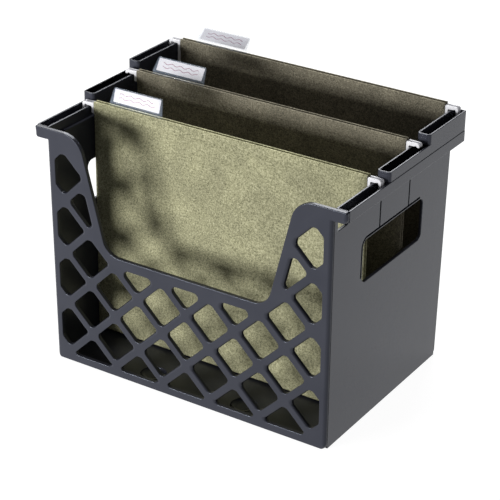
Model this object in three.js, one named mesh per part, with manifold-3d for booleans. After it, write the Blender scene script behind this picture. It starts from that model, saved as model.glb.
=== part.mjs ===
// Desktop file rack with three hanging files.
// Millimetres. +X runs right along the front, +Y to the rear, +Z up.
// The origin is on the desk, under the middle of the rack.
import * as THREE from "three";
import { mergeVertices } from "three/addons/utils/BufferGeometryUtils.js";
import Module from "manifold-3d";

const wasm = await Module();
wasm.setup();

// ---- driving dimensions ----
const GAP = 0.3; // clearance between neighbouring solids

// rack body
const BASE_HALF_WIDTH = 153.0; // outer face of a side wall at the desk
const SIDE_DRAFT = 1.0; // how far a side wall leans out by the rim
const FRONT_Y = -106.6; // outer front face at the desk
const REAR_Y = 107.6; // outer rear face at the desk
const FRONT_LEAN = 4.2; // how far the front leans out by the rim
const REAR_LEAN = 3.3; // how far the rear leans out by the rim
const FRONT_THICKNESS = 4.5;
const REAR_THICKNESS = 2.6;
const SIDE_THICKNESS = 3.0;
const FLOOR_THICKNESS = 3.2;
const CORNER_RADIUS = 4.0; // upright outer corners
const FOOT_CORNER_RADIUS = 4.0; // lower corners of the front and rear

// rim
const RIM_Z = 233.0; // underside of the overhanging rim
const RIM_HALF_WIDTH = 168.0;
const RAIL_Z = 244.0; // top of the lowest rail
const RAIL_RISE = 9.9; // each rail step is this much higher
const RAIL_THICKNESS = 2.2;
const FASCIA_THICKNESS = 2.0;
const RIM_WEB = 2.2; // floor of the rim channel
const RIM_REAR_Y = 108.6;
const STEP_FRONT_Y = [-106.0, -36.8, 36.4]; // front end of each rim step
const END_WALL = 2.0;
const REAR_END_WALL = 1.4;
const END_RADIUS = 3.5; // rounded front corners of the raised steps

// lattice
const HALF_PITCH = 27.3; // half the spacing of the diamond holes
const FIRST_ROW_Z = 38.3;
const STRAND_WIDTH = 8.0;
const HOLE_RADIUS = 5.0;
const SIDE_BORDER = 7.4;
const FOOT_BORDER = 8.4;
const CUT_BORDER = 10.5; // band between the front cut-out and the holes
const SMALLEST_HOLE = 150.0; // square millimetres, before the corners are rounded

// front cut-out
const CUT_FLOOR_Z = 130.0;
const CUT_FLOOR_HALF = 88.8; // sharp lower corner
const CUT_SLOPE = 0.25; // sideways spread per unit of height
const CUT_LOWER_RADIUS = 21.0;
const SHOULDER_RADIUS = 25.5;

// side walls
const SLOT = { front: -53.2, rear: 58.4, low: 148.0, high: 190.4, radius: 7.0 };
const WINDOW = { front: -100.4, rear: -84.0, low: 219.5, high: 231.0, radius: 1.0 };
const GROOVE_WIDTH = 1.4;
const GROOVE_DEPTH = 1.2;
const GROOVE_Y = [-24.8, 29.4]; // upright grooves between slot and rim
const GROOVE_OFFSET = 3.4; // distance of the slot's own groove from its edge

// floor dishes
const DISH_X = 52.0;
const DISH_Y = -86.0;
const DISH_RADIUS = 13.0;
const DISH_DEPTH = 1.8;

// hanging files
const FILE_HALF_WIDTH = 149.25; // letter size, 298.5 across
const FILE_HEIGHT = 245.0; // hem top to fold
const FLAP_SPACING = 4.2; // front flap to rear flap
const SHEET = 0.8;
const HEM_TOP = 5.6; // hem top above the rail
const HEM_HEIGHT = 12.4;
const HEM_THICKNESS = 2.6;
const HEM_WALL = 0.5;
const ROD_THICKNESS = 1.0;
const ROD_HEIGHT = 9.6;
const HOOK_THICKNESS = 2.0;
const HOOK_INNER_X = 149.6;
const HOOK_LEG = 2.8;
const HOOK_OUTER_X = 163.0;
const HOOK_ROOF = 3.8; // height of the hook above the rail
const HOOK_DROP = 6.5; // how far the legs reach below the rail top
const HOOK_TIP_RADIUS = 0.6;
const HOOK_INNER_RADIUS = 1.0;
const HOOK_OUTER_RADIUS = 2.2;
const LONG_LEG_DROP = 19.0; // inner leg of the rear file's left hooks

// tabs
const TAB_LEFT = -132.0;
const TAB_WIDTH = 60.0;
const TAB_TOP_INSET = 2.6; // the tab narrows by this at each end
const TAB_HEIGHT = 15.5;
const TAB_WALL = 0.5;
const TAB_FLOOR = 0.6; // bottom of the sleeve's hollow above the bend
const TAB_TOP_RADIUS = 1.5;
const LABEL_THICKNESS = 0.3;
const LABEL_WIDTH = 53.0;
const LABEL_HEIGHT = 12.6;
const LABEL_LIFT = 1.8; // bottom of the label above the bend
const TAB_ROOT = 8.0; // how far the tab reaches down behind the hem
const TAB_LIFT = 2.2; // bend of the tab above the hem top

// y is the front flap, tilt the tab's lean in degrees, and pushed how far the
// leaning rear panel holds the foot of the file forward.
const FILES = [
  { name: "front", y: -43.0, step: 0, tilt: 18, pushed: 0, longLeg: false },
  { name: "middle", y: 26.6, step: 1, tilt: 32, pushed: 0, longLeg: false },
  { name: "rear", y: 101.6, step: 2, tilt: 50, pushed: 2.0, longLeg: true },
];

// ---- materials ----
const plastic = () => new THREE.MeshStandardMaterial({ color: 0x2c2d33, roughness: 0.4 });
const pressboard = () => new THREE.MeshStandardMaterial({ color: 0x8a8868, roughness: 0.9 });
const steel = () => new THREE.MeshStandardMaterial({ color: 0xa8a8a8, roughness: 0.4, metalness: 1 });
const whitePlastic = () => new THREE.MeshStandardMaterial({ color: 0xf2f2f4, roughness: 0.4 });
const clearPlastic = () =>
  new THREE.MeshStandardMaterial({ color: 0xdfe8f2, roughness: 0.1, transparent: true, opacity: 0.4 });
const paper = () => new THREE.MeshStandardMaterial({ color: 0xf5f2ee, roughness: 0.8 });

// ---- solids and booleans ----
function toSolid(geometry) {
  const bare = geometry.clone();
  bare.deleteAttribute("normal");
  bare.deleteAttribute("uv");
  const merged = mergeVertices(bare, 1e-4);
  const mesh = new wasm.Mesh({
    numProp: 3,
    vertProperties: new Float32Array(merged.attributes.position.array),
    triVerts: new Uint32Array(merged.index.array),
  });
  return new wasm.Manifold(mesh);
}

function toGeometry(solid) {
  const mesh = solid.getMesh();
  const geometry = new THREE.BufferGeometry();
  geometry.setAttribute("position", new THREE.BufferAttribute(mesh.vertProperties, 3));
  geometry.setIndex(new THREE.BufferAttribute(mesh.triVerts, 1));
  return geometry;
}

const box = (x0, x1, y0, y1, z0, z1) => {
  const geometry = new THREE.BoxGeometry(x1 - x0, y1 - y0, z1 - z0);
  geometry.translate((x0 + x1) / 2, (y0 + y1) / 2, (z0 + z1) / 2);
  return geometry;
};

const solidBox = (...limits) => toSolid(box(...limits));

function extrude(shape, depth, curveSegments) {
  return new THREE.ExtrudeGeometry(shape, { depth, bevelEnabled: false, curveSegments });
}

// A shape drawn in X and Z, given thickness from y0 to y1.
function plateXZ(shape, y0, y1, curveSegments = 4) {
  const geometry = extrude(shape, y1 - y0, curveSegments);
  geometry.rotateX(Math.PI / 2);
  geometry.translate(0, y1, 0);
  return geometry;
}

// A shape drawn in Y and Z, given thickness from x0 to x1.
function plateYZ(shape, x0, x1, curveSegments = 4) {
  const geometry = extrude(shape, x1 - x0, curveSegments);
  geometry.rotateY(Math.PI / 2);
  geometry.rotateX(Math.PI / 2);
  geometry.translate(x0, 0, 0);
  return geometry;
}

// A shape drawn in X and Y, given height from z0 to z1.
function plateXY(shape, z0, z1, curveSegments = 4) {
  const geometry = extrude(shape, z1 - z0, curveSegments);
  geometry.translate(0, 0, z0);
  return geometry;
}

// Moves every vertex along Y by a set amount per unit of height.
function leanY(geometry, perHeight) {
  const shear = new THREE.Matrix4().set(1, 0, 0, 0, 0, 1, perHeight, 0, 0, 0, 1, 0, 0, 0, 0, 1);
  return geometry.applyMatrix4(shear);
}

function mirrorX(geometry) {
  const mirrored = geometry.index ? geometry.toNonIndexed() : geometry.clone();
  mirrored.scale(-1, 1, 1);
  const position = mirrored.attributes.position;
  for (let i = 0; i < position.count; i += 3) {
    for (let axis = 0; axis < 3; axis += 1) {
      const second = position.getComponent(i + 1, axis);
      position.setComponent(i + 1, axis, position.getComponent(i + 2, axis));
      position.setComponent(i + 2, axis, second);
    }
  }
  return mirrored;
}

// ---- outlines ----
// Draws a closed polygon with its corners rounded. Points are [x, y, radius].
function roundedPath(path, points) {
  const count = points.length;
  points.forEach(([x, y, radius], i) => {
    const corner = new THREE.Vector2(x, y);
    const before = new THREE.Vector2(...points[(i + count - 1) % count]).sub(corner);
    const after = new THREE.Vector2(...points[(i + 1) % count]).sub(corner);
    const half = Math.acos(before.dot(after) / before.length() / after.length()) / 2;
    const reach = radius / Math.tan(half);
    const longest = 0.49 * Math.min(before.length(), after.length());
    const cut = Math.min(reach, longest);
    const start = corner.clone().addScaledVector(before.normalize(), cut);
    const end = corner.clone().addScaledVector(after.normalize(), cut);
    if (i === 0) path.moveTo(start.x, start.y);
    else path.lineTo(start.x, start.y);
    if (cut > 0) path.quadraticCurveTo(x, y, end.x, end.y);
  });
  path.closePath();
  return path;
}

const roundedShape = (points) => roundedPath(new THREE.Shape(), points);

function rectanglePoints(x0, x1, y0, y1, radius) {
  return [
    [x0, y0, radius],
    [x1, y0, radius],
    [x1, y1, radius],
    [x0, y1, radius],
  ];
}

// Keeps the part of a convex polygon where a*x + b*z <= c.
function clip(polygon, a, b, c) {
  const kept = [];
  polygon.forEach((point, i) => {
    const next = polygon[(i + 1) % polygon.length];
    const here = a * point[0] + b * point[1] - c;
    const there = a * next[0] + b * next[1] - c;
    if (here <= 0) kept.push(point);
    if (here * there < 0) {
      const t = here / (here - there);
      kept.push([point[0] + t * (next[0] - point[0]), point[1] + t * (next[1] - point[1])]);
    }
  });
  return kept;
}

function polygonArea(polygon) {
  const twice = polygon.reduce((sum, [x, z], i) => {
    const [nextX, nextZ] = polygon[(i + 1) % polygon.length];
    return sum + x * nextZ - nextX * z;
  }, 0);
  return Math.abs(twice) / 2;
}

// Diamond holes of the lattice below topZ, cut to the panel's border and by the given trim.
function latticeHoles(topZ, trim = (hole) => hole) {
  const reach = HALF_PITCH - STRAND_WIDTH / Math.SQRT2;
  const columns = Math.ceil(BASE_HALF_WIDTH / HALF_PITCH);
  const rows = Math.ceil(topZ / HALF_PITCH);
  const holes = [];
  for (let row = -1; row <= rows; row += 1) {
    for (let column = -columns; column <= columns; column += 1) {
      if ((row + column) % 2 === 0) continue;
      const x = column * HALF_PITCH;
      const z = FIRST_ROW_Z + row * HALF_PITCH;
      let hole = [
        [x - reach, z],
        [x, z - reach],
        [x + reach, z],
        [x, z + reach],
      ];
      hole = clip(hole, 1, 0, BASE_HALF_WIDTH - SIDE_BORDER);
      hole = clip(hole, -1, 0, BASE_HALF_WIDTH - SIDE_BORDER);
      hole = clip(hole, 0, -1, -FOOT_BORDER);
      hole = clip(hole, 0, 1, topZ);
      hole = trim(hole, x, z);
      if (hole.length > 2 && polygonArea(hole) > SMALLEST_HOLE) holes.push(hole);
    }
  }
  return holes;
}

const holePath = (hole) =>
  roundedPath(new THREE.Path(), hole.map(([x, z]) => [x, z, HOLE_RADIUS]));

// ---- rack panels ----
const sideX = (z) => BASE_HALF_WIDTH + (SIDE_DRAFT * z) / RIM_Z;
const cutX = (z) => CUT_FLOOR_HALF + CUT_SLOPE * (z - CUT_FLOOR_Z);
const frontLeanRate = -FRONT_LEAN / RIM_Z;
const rearLeanRate = REAR_LEAN / RIM_Z;

// Cuts a hole back from the front cut-out: from its floor or from its sloping side.
function trimToCutOut(hole, x, z) {
  const underFloor = z < CUT_FLOOR_Z && Math.abs(x) < CUT_FLOOR_HALF;
  if (underFloor) return clip(hole, 0, 1, CUT_FLOOR_Z - CUT_BORDER);
  if (z < CUT_FLOOR_Z) return hole;
  const side = Math.sign(x);
  const band = CUT_BORDER * Math.hypot(1, CUT_SLOPE);
  const edge = CUT_FLOOR_HALF - CUT_SLOPE * CUT_FLOOR_Z + band;
  return clip(hole, -side, CUT_SLOPE, -edge);
}

// Rounded plan outline used to round the upright outer corners of a plate.
function roundedCorners(halfWidth, y0, y1, z0, z1) {
  const outline = roundedShape(rectanglePoints(-halfWidth, halfWidth, y0, y1, CORNER_RADIUS));
  return toSolid(plateXY(outline, z0, z1, 3));
}

function frontPanel() {
  const top = RAIL_Z;
  const outline = roundedShape([
    [-BASE_HALF_WIDTH, 0, FOOT_CORNER_RADIUS],
    [BASE_HALF_WIDTH, 0, FOOT_CORNER_RADIUS],
    [sideX(RIM_Z), RIM_Z, 0],
    [RIM_HALF_WIDTH, RIM_Z, 0],
    [RIM_HALF_WIDTH, top, 0],
    [cutX(top), top, SHOULDER_RADIUS],
    [CUT_FLOOR_HALF, CUT_FLOOR_Z, CUT_LOWER_RADIUS],
    [-CUT_FLOOR_HALF, CUT_FLOOR_Z, CUT_LOWER_RADIUS],
    [-cutX(top), top, SHOULDER_RADIUS],
    [-RIM_HALF_WIDTH, top, 0],
    [-RIM_HALF_WIDTH, RIM_Z, 0],
    [-sideX(RIM_Z), RIM_Z, 0],
  ]);
  outline.holes = latticeHoles(RIM_Z, trimToCutOut).map(holePath);
  const back = FRONT_Y + FRONT_THICKNESS;
  const plate = toSolid(plateXZ(outline, FRONT_Y, back, 3));
  const deep = FRONT_Y + 3 * CORNER_RADIUS;
  const lower = roundedCorners(sideX(RIM_Z), FRONT_Y, deep, 0, RIM_Z);
  const upper = roundedCorners(RIM_HALF_WIDTH, FRONT_Y, deep, RIM_Z, top);
  return leanY(toGeometry(plate.intersect(lower.add(upper))), frontLeanRate);
}

function rearPanel() {
  const top = RAIL_Z + 2 * RAIL_RISE;
  const outline = roundedShape([
    [-BASE_HALF_WIDTH, 0, FOOT_CORNER_RADIUS],
    [BASE_HALF_WIDTH, 0, FOOT_CORNER_RADIUS],
    [sideX(RIM_Z), top, FOOT_CORNER_RADIUS],
    [-sideX(RIM_Z), top, FOOT_CORNER_RADIUS],
  ]);
  outline.holes = latticeHoles(top - CUT_BORDER).map(holePath);
  const plate = toSolid(plateXZ(outline, REAR_Y - REAR_THICKNESS, REAR_Y, 3));
  const corners = roundedCorners(sideX(RIM_Z), REAR_Y - 3 * CORNER_RADIUS, REAR_Y, 0, top);
  return leanY(toGeometry(plate.intersect(corners)), rearLeanRate);
}

// One continuous groove: up the front of the handle slot and along its top.
function slotGroove(x0, x1) {
  const band = (offset) => {
    const { front, rear, low, high, radius } = SLOT;
    const points = rectanglePoints(
      front - offset, rear + offset, low - offset, high + offset, radius + offset);
    return toSolid(plateYZ(roundedShape(points), x0, x1));
  };
  const ring = band(GROOVE_OFFSET).subtract(band(GROOVE_OFFSET - GROOVE_WIDTH));
  const ahead = SLOT.front - 2 * GROOVE_OFFSET;
  const above = SLOT.high + 2 * GROOVE_OFFSET;
  const keepTop = solidBox(x0, x1, ahead, SLOT.rear, SLOT.high, above);
  const keepFront = solidBox(x0, x1, ahead, SLOT.front + SLOT.radius, SLOT.low, above);
  return ring.intersect(keepTop.add(keepFront));
}

function sidePanel() {
  const top = RIM_Z + RIM_WEB;
  const frontAt = (z) => FRONT_Y + FRONT_THICKNESS + frontLeanRate * z + GAP;
  const rearAt = (z) => REAR_Y - REAR_THICKNESS + rearLeanRate * z - GAP;
  const outline = roundedShape([
    [frontAt(0), 0, 0],
    [rearAt(0), 0, 0],
    [rearAt(top), top, 0],
    [frontAt(top), top, 0],
  ]);
  outline.holes = [SLOT, WINDOW].map(({ front, rear, low, high, radius }) =>
    roundedPath(new THREE.Path(), rectanglePoints(front, rear, low, high, radius)));
  const outer = BASE_HALF_WIDTH;
  let wall = toSolid(plateYZ(outline, outer - SIDE_THICKNESS, outer));
  const grooveX = outer - GROOVE_DEPTH;
  wall = wall.subtract(slotGroove(grooveX, outer + GROOVE_DEPTH));
  for (const y of GROOVE_Y) {
    const half = GROOVE_WIDTH / 2;
    const foot = SLOT.high + GROOVE_OFFSET - GROOVE_WIDTH / 2;
    wall = wall.subtract(solidBox(grooveX, outer + GROOVE_DEPTH, y - half, y + half, foot, top + GAP));
  }
  const geometry = toGeometry(wall);
  const draft = new THREE.Matrix4().set(
    1, 0, SIDE_DRAFT / RIM_Z, 0,
    0, 1, 0, 0,
    0, 0, 1, 0,
    0, 0, 0, 1);
  return geometry.applyMatrix4(draft);
}

function floorPanel() {
  const half = BASE_HALF_WIDTH - SIDE_THICKNESS - GAP;
  const front = FRONT_Y + FRONT_THICKNESS + GAP;
  const rear = REAR_Y - REAR_THICKNESS - GAP;
  let floor = solidBox(-half, half, front, rear, 0, FLOOR_THICKNESS);
  for (const side of [-1, 1]) {
    const dish = new THREE.CylinderGeometry(DISH_RADIUS, DISH_RADIUS - DISH_DEPTH, 2 * DISH_DEPTH, 24);
    dish.rotateX(Math.PI / 2);
    dish.translate(side * DISH_X, DISH_Y, FLOOR_THICKNESS);
    floor = floor.subtract(toSolid(dish));
  }
  return toGeometry(floor);
}

// ---- stepped rim channel, right-hand side ----
const railInnerX = sideX(RIM_Z) + GAP;
const railOuterX = railInnerX + RAIL_THICKNESS;

// Plan outline of the rim from one step's front end to the rear.
function stepOutline(front, radius) {
  return roundedShape([
    [railInnerX, front, radius],
    [RIM_HALF_WIDTH, front, radius],
    [RIM_HALF_WIDTH, RIM_REAR_Y, 0],
    [railInnerX, RIM_REAR_Y, 0],
  ]);
}

function rimChannel() {
  const webTop = RIM_Z + RIM_WEB;
  const openTop = RAIL_Z + STEP_FRONT_Y.length * RAIL_RISE;
  let channel = toSolid(plateXY(stepOutline(STEP_FRONT_Y[0], 0), RIM_Z, RAIL_Z));
  STEP_FRONT_Y.slice(1).forEach((front, raisedStep) => {
    const railTop = RAIL_Z + (raisedStep + 1) * RAIL_RISE;
    channel = channel.add(toSolid(plateXY(stepOutline(front, END_RADIUS), RIM_Z, railTop)));
  });
  STEP_FRONT_Y.forEach((front, step) => {
    const isLowest = step === 0; // the front panel closes the lowest trough
    const start = isLowest ? front - END_WALL : front + END_WALL;
    const radius = isLowest ? 0 : END_RADIUS - END_WALL;
    const rear = STEP_FRONT_Y[step + 1] ?? RIM_REAR_Y - REAR_END_WALL;
    const trough = roundedShape([
      [railOuterX, start, radius],
      [RIM_HALF_WIDTH - FASCIA_THICKNESS, start, radius],
      [RIM_HALF_WIDTH - FASCIA_THICKNESS, rear, 0],
      [railOuterX, rear, 0],
    ]);
    channel = channel.subtract(toSolid(plateXY(trough, webTop, openTop)));
  });
  return toGeometry(channel);
}

// ---- hanging files ----
// Section of the hem: a rounded loop around the rod.
function hemProfile(y, hemTop) {
  const outer = HEM_THICKNESS / 2;
  const inner = outer - HEM_WALL;
  const low = hemTop - HEM_HEIGHT;
  const loop = roundedShape(rectanglePoints(y - outer, y + outer, low, hemTop, outer));
  const hollow = rectanglePoints(y - inner, y + inner, low + HEM_WALL, hemTop - HEM_WALL, inner);
  loop.holes = [roundedPath(new THREE.Path(), hollow)];
  return loop;
}

// Swings a flap about its hem so that its foot moves forward.
function pushFoot(geometry, hemTop, pushed) {
  const perHeight = pushed / FILE_HEIGHT;
  const leaning = leanY(geometry, perHeight);
  return leaning.translate(0, -perHeight * (hemTop - HEM_HEIGHT / 2), 0);
}

// The front flap: a hem around the rod and a flat sheet down to the fold.
function frontFlap(y, hemTop) {
  const sheetTop = hemTop - HEM_HEIGHT + HEM_WALL / 2;
  const sheetLow = hemTop - FILE_HEIGHT + FLAP_SPACING / 2 + SHEET;
  const hem = toSolid(plateYZ(hemProfile(y, hemTop), -FILE_HALF_WIDTH, FILE_HALF_WIDTH));
  const sheet = solidBox(
    -FILE_HALF_WIDTH, FILE_HALF_WIDTH, y - SHEET / 2, y + SHEET / 2, sheetLow, sheetTop);
  return toGeometry(hem.add(sheet));
}

// The rear flap: the same hem and sheet, with the fold turned forward at its foot.
function rearFlap(y, hemTop) {
  const sheetTop = hemTop - HEM_HEIGHT + HEM_WALL / 2;
  const fold = hemTop - FILE_HEIGHT;
  const hem = toSolid(plateYZ(hemProfile(y, hemTop), -FILE_HALF_WIDTH, FILE_HALF_WIDTH));
  const middle = y - FLAP_SPACING / 2;
  const outer = FLAP_SPACING / 2 + SHEET / 2;
  const inner = FLAP_SPACING / 2 - SHEET / 2;
  const foldZ = fold + outer;
  const profile = new THREE.Shape();
  profile.moveTo(middle + outer, sheetTop);
  profile.lineTo(middle + inner, sheetTop);
  profile.lineTo(middle + inner, foldZ);
  profile.absarc(middle, foldZ, inner, 0, Math.PI, true);
  profile.lineTo(middle - outer, foldZ);
  profile.absarc(middle, foldZ, outer, Math.PI, 2 * Math.PI, false);
  profile.closePath();
  const sheet = toSolid(plateYZ(profile, -FILE_HALF_WIDTH, FILE_HALF_WIDTH, 6));
  return toGeometry(hem.add(sheet));
}

function rod(y, railTop) {
  const top = railTop + HEM_TOP - HEM_WALL - GAP;
  const half = ROD_THICKNESS / 2;
  const end = FILE_HALF_WIDTH;
  return box(-end, end, y - half, y + half, top - ROD_HEIGHT, top);
}

// An inverted U over the rail, right-hand side; the inner leg may be long.
function hook(y, railTop, innerDrop) {
  const low = railTop - HOOK_DROP;
  const roof = railTop + GAP;
  const innerLeg = HOOK_INNER_X + HOOK_LEG;
  const outerLeg = HOOK_OUTER_X - HOOK_LEG;
  const outline = roundedShape([
    [HOOK_INNER_X, railTop - innerDrop, HOOK_TIP_RADIUS],
    [innerLeg, railTop - innerDrop, HOOK_TIP_RADIUS],
    [innerLeg, roof, HOOK_INNER_RADIUS],
    [outerLeg, roof, HOOK_INNER_RADIUS],
    [outerLeg, low, HOOK_TIP_RADIUS],
    [HOOK_OUTER_X, low, HOOK_TIP_RADIUS],
    [HOOK_OUTER_X, railTop + HOOK_ROOF, HOOK_OUTER_RADIUS],
    [HOOK_INNER_X, railTop + HOOK_ROOF, HOOK_TIP_RADIUS],
  ]);
  return plateXZ(outline, y - HOOK_THICKNESS / 2, y + HOOK_THICKNESS / 2, 3);
}

// Frame of a tab: its bend line above the hem, leaning to the rear.
function placeTab(geometry, y, hemTop, tilt) {
  geometry.rotateX(-THREE.MathUtils.degToRad(tilt));
  geometry.translate(0, y + HEM_THICKNESS / 2 + GAP + TAB_WALL / 2, hemTop + TAB_LIFT);
  return geometry;
}

// A clear sleeve closed along its top, and a root strip behind the front hem.
function tab(y, hemTop, tilt) {
  const outer = LABEL_THICKNESS / 2 + GAP + TAB_WALL;
  const cavity = LABEL_THICKNESS / 2 + GAP;
  const right = TAB_LEFT + TAB_WIDTH;
  const trapezoid = roundedShape([
    [TAB_LEFT, -outer, 0],
    [right, -outer, 0],
    [right - TAB_TOP_INSET, TAB_HEIGHT, TAB_TOP_RADIUS],
    [TAB_LEFT + TAB_TOP_INSET, TAB_HEIGHT, TAB_TOP_RADIUS],
  ]);
  const body = toSolid(plateXZ(trapezoid, -outer, outer));
  const hollow = solidBox(
    TAB_LEFT - GAP, right + GAP, -cavity, cavity, TAB_FLOOR, TAB_HEIGHT - TAB_WALL - GAP);
  const sleeve = toSolid(placeTab(toGeometry(body.subtract(hollow)), y, hemTop, tilt));
  const rootY = y + HEM_THICKNESS / 2 + GAP;
  const root = solidBox(
    TAB_LEFT, right, rootY, rootY + TAB_WALL, hemTop - TAB_ROOT, hemTop + TAB_LIFT);
  return toGeometry(sleeve.add(root));
}

function label(y, hemTop, tilt) {
  const middle = TAB_LEFT + TAB_WIDTH / 2;
  const half = LABEL_THICKNESS / 2;
  const sheet = box(
    middle - LABEL_WIDTH / 2, middle + LABEL_WIDTH / 2,
    -half, half, LABEL_LIFT, LABEL_LIFT + LABEL_HEIGHT);
  return placeTab(sheet, y, hemTop, tilt);
}

// ---- assembly ----
const rack = new THREE.Group();

function addMesh(name, geometry, material) {
  const flat = geometry.index ? geometry.toNonIndexed() : geometry;
  flat.computeVertexNormals();
  const mesh = new THREE.Mesh(flat, material);
  mesh.name = name;
  rack.add(mesh);
}

addMesh("front_panel", frontPanel(), plastic());
addMesh("rear_panel", rearPanel(), plastic());
addMesh("floor_panel", floorPanel(), plastic());
addMesh("side_panel_right", sidePanel(), plastic());
addMesh("side_panel_left", mirrorX(sidePanel()), plastic());
addMesh("rim_channel_right", rimChannel(), plastic());
addMesh("rim_channel_left", mirrorX(rimChannel()), plastic());

for (const { name, y, step, tilt, pushed, longLeg } of FILES) {
  const railTop = RAIL_Z + step * RAIL_RISE;
  const hemTop = railTop + HEM_TOP;
  const rearY = y + FLAP_SPACING;
  const front = pushFoot(frontFlap(y, hemTop), hemTop, pushed);
  const rear = pushFoot(rearFlap(rearY, hemTop), hemTop, pushed);
  addMesh(`file_${name}_front_flap`, front, pressboard());
  addMesh(`file_${name}_rear_flap`, rear, pressboard());
  for (const [place, rodY] of [["front", y], ["rear", rearY]]) {
    const leftDrop = longLeg ? LONG_LEG_DROP : HOOK_DROP;
    addMesh(`file_${name}_${place}_rod`, rod(rodY, railTop), steel());
    addMesh(`file_${name}_${place}_hook_right`, hook(rodY, railTop, HOOK_DROP), whitePlastic());
    addMesh(`file_${name}_${place}_hook_left`, mirrorX(hook(rodY, railTop, leftDrop)), whitePlastic());
  }
  addMesh(`file_${name}_tab`, tab(y, hemTop, tilt), clearPlastic());
  addMesh(`file_${name}_label`, label(y, hemTop, tilt), paper());
}

export default rack;
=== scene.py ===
import math

import bpy
from mathutils import Matrix, Vector
from mathutils.geometry import tessellate_polygon


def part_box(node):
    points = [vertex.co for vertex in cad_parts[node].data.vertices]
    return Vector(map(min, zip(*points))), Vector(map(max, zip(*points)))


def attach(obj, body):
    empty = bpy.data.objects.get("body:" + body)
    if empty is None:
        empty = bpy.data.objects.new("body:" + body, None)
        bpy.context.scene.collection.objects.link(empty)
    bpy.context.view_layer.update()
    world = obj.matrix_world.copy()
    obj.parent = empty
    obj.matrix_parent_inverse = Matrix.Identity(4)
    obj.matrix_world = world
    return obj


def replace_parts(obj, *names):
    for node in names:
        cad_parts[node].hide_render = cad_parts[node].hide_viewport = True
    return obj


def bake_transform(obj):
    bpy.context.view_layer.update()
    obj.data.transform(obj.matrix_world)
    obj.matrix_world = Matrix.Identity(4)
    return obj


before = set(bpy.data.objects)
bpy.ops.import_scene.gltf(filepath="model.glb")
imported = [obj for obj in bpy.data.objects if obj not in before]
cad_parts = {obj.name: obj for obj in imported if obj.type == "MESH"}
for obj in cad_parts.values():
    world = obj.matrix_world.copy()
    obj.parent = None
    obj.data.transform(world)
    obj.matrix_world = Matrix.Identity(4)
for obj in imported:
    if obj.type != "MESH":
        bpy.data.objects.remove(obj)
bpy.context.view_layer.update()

# Looks of a desktop file rack with three hanging files.
# Lengths of the rack and the files are in millimetres in the model's own frame, and
# become metres when a mesh is made. The camera, lights and textures are in metres.
MM = 0.001
CLEAR = 0.02  # hairline between two pieces that meet face to face


def box_mm(node):
    """Lowest and highest corner of a CAD node in millimetres."""
    low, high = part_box(node)
    return low / MM, high / MM


def middle_mm(node):
    low, high = box_mm(node)
    return (low + high) / 2


# ---- sizes of the rack ----
FRONT_LOW, FRONT_HIGH = box_mm("front_panel")
REAR_LOW, REAR_HIGH = box_mm("rear_panel")
RIM_LOW, RIM_HIGH = box_mm("rim_channel_right")

FRONT_THICKNESS = 4.5
REAR_THICKNESS = 2.6
SIDE_THICKNESS = 3.0
BASE_HALF_WIDTH = 153.0
SIDE_DRAFT = 1.0  # a side wall leans out this far by the rim
RIM_Z = RIM_LOW.z
RIM_HALF_WIDTH = RIM_HIGH.x
RAIL_Z = FRONT_HIGH.z
TOP_Z = RIM_HIGH.z
RAIL_RISE = (TOP_Z - RAIL_Z) / 2
FRONT_Y = FRONT_HIGH.y - FRONT_THICKNESS
REAR_Y = REAR_LOW.y + REAR_THICKNESS
FRONT_LEAN = (FRONT_LOW.y - FRONT_Y) / RAIL_Z  # movement along Y per unit of height
REAR_LEAN = (REAR_HIGH.y - REAR_Y) / TOP_Z
SIDE_LEAN = SIDE_DRAFT / RIM_Z
FOOT_RADIUS = 5.0
UPRIGHT_RADIUS = 3.8  # rounding of the upright outer corners
EDGE_RADIUS = 0.8  # rounding of every other edge
INNER_EDGE_RADIUS = 0.3  # inside of the side walls
REAR_INNER_EDGE_RADIUS = 0.5
PANEL_CORNER = 1.0  # inner corner below an ear
EAR_TOP_RADIUS = 2.2
EAR_FOOT_RADIUS = 4.0
EAR_TAPER = 4.0  # the upright rounding shrinks over this height below the rail

# lattice
HALF_PITCH = 27.3
FIRST_ROW_Z = 38.3
STRAND_WIDTH = 8.0
HOLE_RADIUS = 4.6
SIDE_BORDER = 7.4
FOOT_BORDER = 8.4
CUT_BORDER = 10.5
SMALLEST_HOLE = 150.0

# front cut-out
CUT_FLOOR_Z = 130.0
CUT_FLOOR_HALF = 88.8
CUT_SLOPE = 0.25
CUT_LOWER_RADIUS = 19.0
SHOULDER_RADIUS = 23.0

# side walls
SLOT = {"front": -53.2, "rear": 58.4, "low": 148.0, "high": 190.4, "radius": 6.4}
WINDOW = {"front": -100.4, "rear": -84.0, "low": 219.5, "high": 231.0, "radius": 1.0}
GROOVE_WIDTH = 2.0
GROOVE_DEPTH = 2.0
GROOVE_OFFSET = 3.4
GROOVE_Y = (-24.8, 29.4)
GROOVE_TIP = 0.3  # corner radius of a groove's ends, and of its floor
GROOVE_EDGE = 0.2

# rim
STEP_FRONT_Y = (-36.8, 36.4)
END_WALL = 2.0
REAR_END_WALL = 1.4
END_RADIUS = 3.5
RAIL_THICKNESS = 2.2
FASCIA_THICKNESS = 2.0
RIM_WEB = 2.2
FASCIA_SETBACK = 0.25  # the raised steps sit this far inside the lower rim
RIM_EDGE_RADIUS = 0.55
TROUGH_CORNER = 0.3
TROUGH_REAR_CORNER = 0.4

# floor
FLOOR_THICKNESS = 3.2
DISH_X = 52.0
DISH_Y = -86.0
DISH_RADIUS = 13.0
DISH_DEPTH = 1.8
DISH_RUN = 7.0  # width of the curved wall of a dish
DISH_STRAIGHT = 0.2  # upright part of a dish's wall
DISH_EDGE = 0.15

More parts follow.
